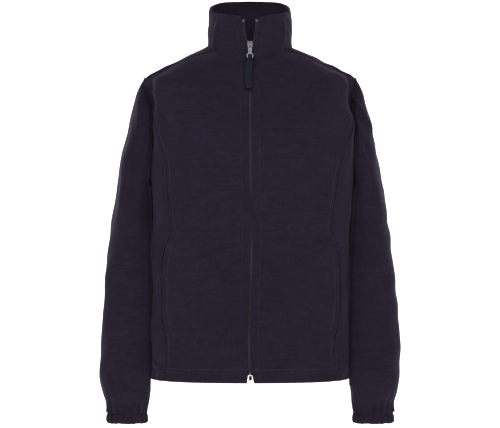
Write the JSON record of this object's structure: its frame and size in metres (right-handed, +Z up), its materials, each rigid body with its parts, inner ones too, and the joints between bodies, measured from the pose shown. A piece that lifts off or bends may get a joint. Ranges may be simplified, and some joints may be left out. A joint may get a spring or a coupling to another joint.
{
  "type": "fleece zip jacket",
  "caption": "Women's fleece jacket with a stand collar, full-length front zip, in-seam hand pockets and elastic cuffs, filled out as if worn and hollow inside.",
  "frame": {"origin": "middle of the neck at the height of the shoulders' highest points, where a neck and shoulders hold the jacket up", "axes": "+Z up, -Y towards the jacket's front, +X towards the wearer's left"},
  "size_m": [0.5684, 0.2554, 0.8056],
  "materials": {
    "fleece": "matte brushed fleece",
    "pocket_knit": "flat knit",
    "zip_tape": "woven tape",
    "puller_cloth": "woven strip",
    "nickel": "polished"
  },
  "bodies": {
    "jacket": {"back": "fleece", "front_left": "fleece", "front_right": "fleece", "side_front_left": "fleece", "side_front_right": "fleece", "sleeve_left": "fleece", "sleeve_right": "fleece", "cuff_left": "fleece", "cuff_right": "fleece", "collar": "fleece", "pocket_bag_left": "pocket_knit", "pocket_bag_right": "pocket_knit", "zip_left": "zip_tape", "zip_right": "zip_tape", "zip_slider": "nickel", "top_stop_left": "nickel", "top_stop_right": "nickel", "zip_box": "nickel"},
    "pull": {"pull_tab": "nickel", "puller": "puller_cloth"}
  },
  "joints": [
    {"name": "pull_swing", "type": "hinge", "parent": "jacket", "child": "pull", "pos_m": [0, -0.09337, -0.0062], "axis": [-1, 0, 0], "range_deg": [0, 150]}
  ]
}
